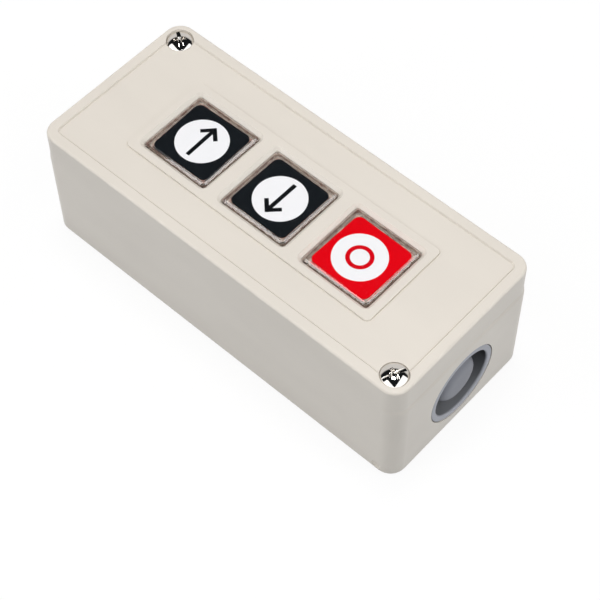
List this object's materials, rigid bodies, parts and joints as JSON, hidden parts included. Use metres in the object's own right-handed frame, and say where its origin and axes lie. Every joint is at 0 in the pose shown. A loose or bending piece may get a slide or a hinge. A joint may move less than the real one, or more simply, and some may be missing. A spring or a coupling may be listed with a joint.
{
  "type": "three-button control station",
  "caption": "Wall-mounted control station with flush forward, reverse and stop push buttons under clear caps, a deep moulded cover, a contact block and a cable grommet.",
  "frame": {"origin": "middle of the back face, on the wall that the box is fixed to", "axes": "+X across the box, +Y along the box towards the forward button, +Z out of the wall"},
  "size_m": [0.056, 0.1312, 0.0431],
  "materials": {
    "cover_plastic": "satin moulded beige",
    "base_plastic": "satin moulded beige",
    "grommet_rubber": "matt grey",
    "nickel_screw": "bright nickel",
    "zinc_screw": "zinc plated",
    "block_phenolic": "moulded black",
    "deck_steel": "zinc plated sheet",
    "slide_steel": "stamped sheet",
    "pin_steel": "ground",
    "clamp_steel": "zinc plated",
    "spring_steel": "drawn wire",
    "contact_brass": "bright",
    "clear_cap": "clear moulded polycarbonate",
    "black_card": "printed card",
    "red_card": "printed card",
    "holder_plastic": "moulded",
    "black_plunger": "moulded",
    "red_plunger": "moulded"
  },
  "bodies": {
    "housing": {"base_plate": "base_plastic", "cover": "cover_plastic", "cable_grommet": "grommet_rubber", "cover_screws": "nickel_screw", "contact_block": "block_phenolic", "block_screws": "zinc_screw", "deck_plate": "deck_steel", "deck_screws": "zinc_screw", "slide_studs": "zinc_screw", "terminal_screws": "zinc_screw", "terminal_clamps": "clamp_steel", "for_return_spring": "spring_steel", "for_line_contact": "contact_brass", "for_load_contact": "contact_brass", "rev_return_spring": "spring_steel", "rev_line_contact": "contact_brass", "rev_load_contact": "contact_brass", "stop_return_spring": "spring_steel", "stop_line_contact": "contact_brass", "stop_load_contact": "contact_brass"},
    "for_button": {"for_cap": "clear_cap", "for_label": "black_card", "for_holder": "holder_plastic", "for_plunger": "black_plunger", "for_bridge": "contact_brass", "for_bridge_spring": "spring_steel"},
    "rev_button": {"rev_cap": "clear_cap", "rev_label": "black_card", "rev_holder": "holder_plastic", "rev_plunger": "black_plunger", "rev_bridge": "contact_brass", "rev_bridge_spring": "spring_steel"},
    "stop_button": {"stop_cap": "clear_cap", "stop_label": "red_card", "stop_holder": "holder_plastic", "stop_plunger": "red_plunger", "stop_bridge": "contact_brass", "stop_bridge_spring": "spring_steel"},
    "latch": {"latch_slide": "slide_steel", "latch_pin": "pin_steel"}
  },
  "joints": [
    {"name": "for_press", "type": "slide", "parent": "housing", "child": "for_button", "axis": [0, 0, -1], "range_m": [0, 0.004], "stiffness_N_per_m": 800, "springref_m": -0.001, "deforming": ["for_return_spring"]},
    {"name": "rev_press", "type": "slide", "parent": "housing", "child": "rev_button", "axis": [0, 0, -1], "range_m": [0, 0.004], "stiffness_N_per_m": 800, "springref_m": -0.001, "deforming": ["rev_return_spring"]},
    {"name": "stop_press", "type": "slide", "parent": "housing", "child": "stop_button", "axis": [0, 0, -1], "range_m": [0, 0.004], "stiffness_N_per_m": 800, "springref_m": -0.001, "deforming": ["stop_return_spring"]},
    {"name": "latch_shift", "type": "slide", "parent": "housing", "child": "latch", "axis": [0, 1, 0], "range_m": [0, 0.002]}
  ],
  "couplings": [
    {"joint": "latch_shift", "follows": "stop_press", "ratio": 0.5}
  ]
}
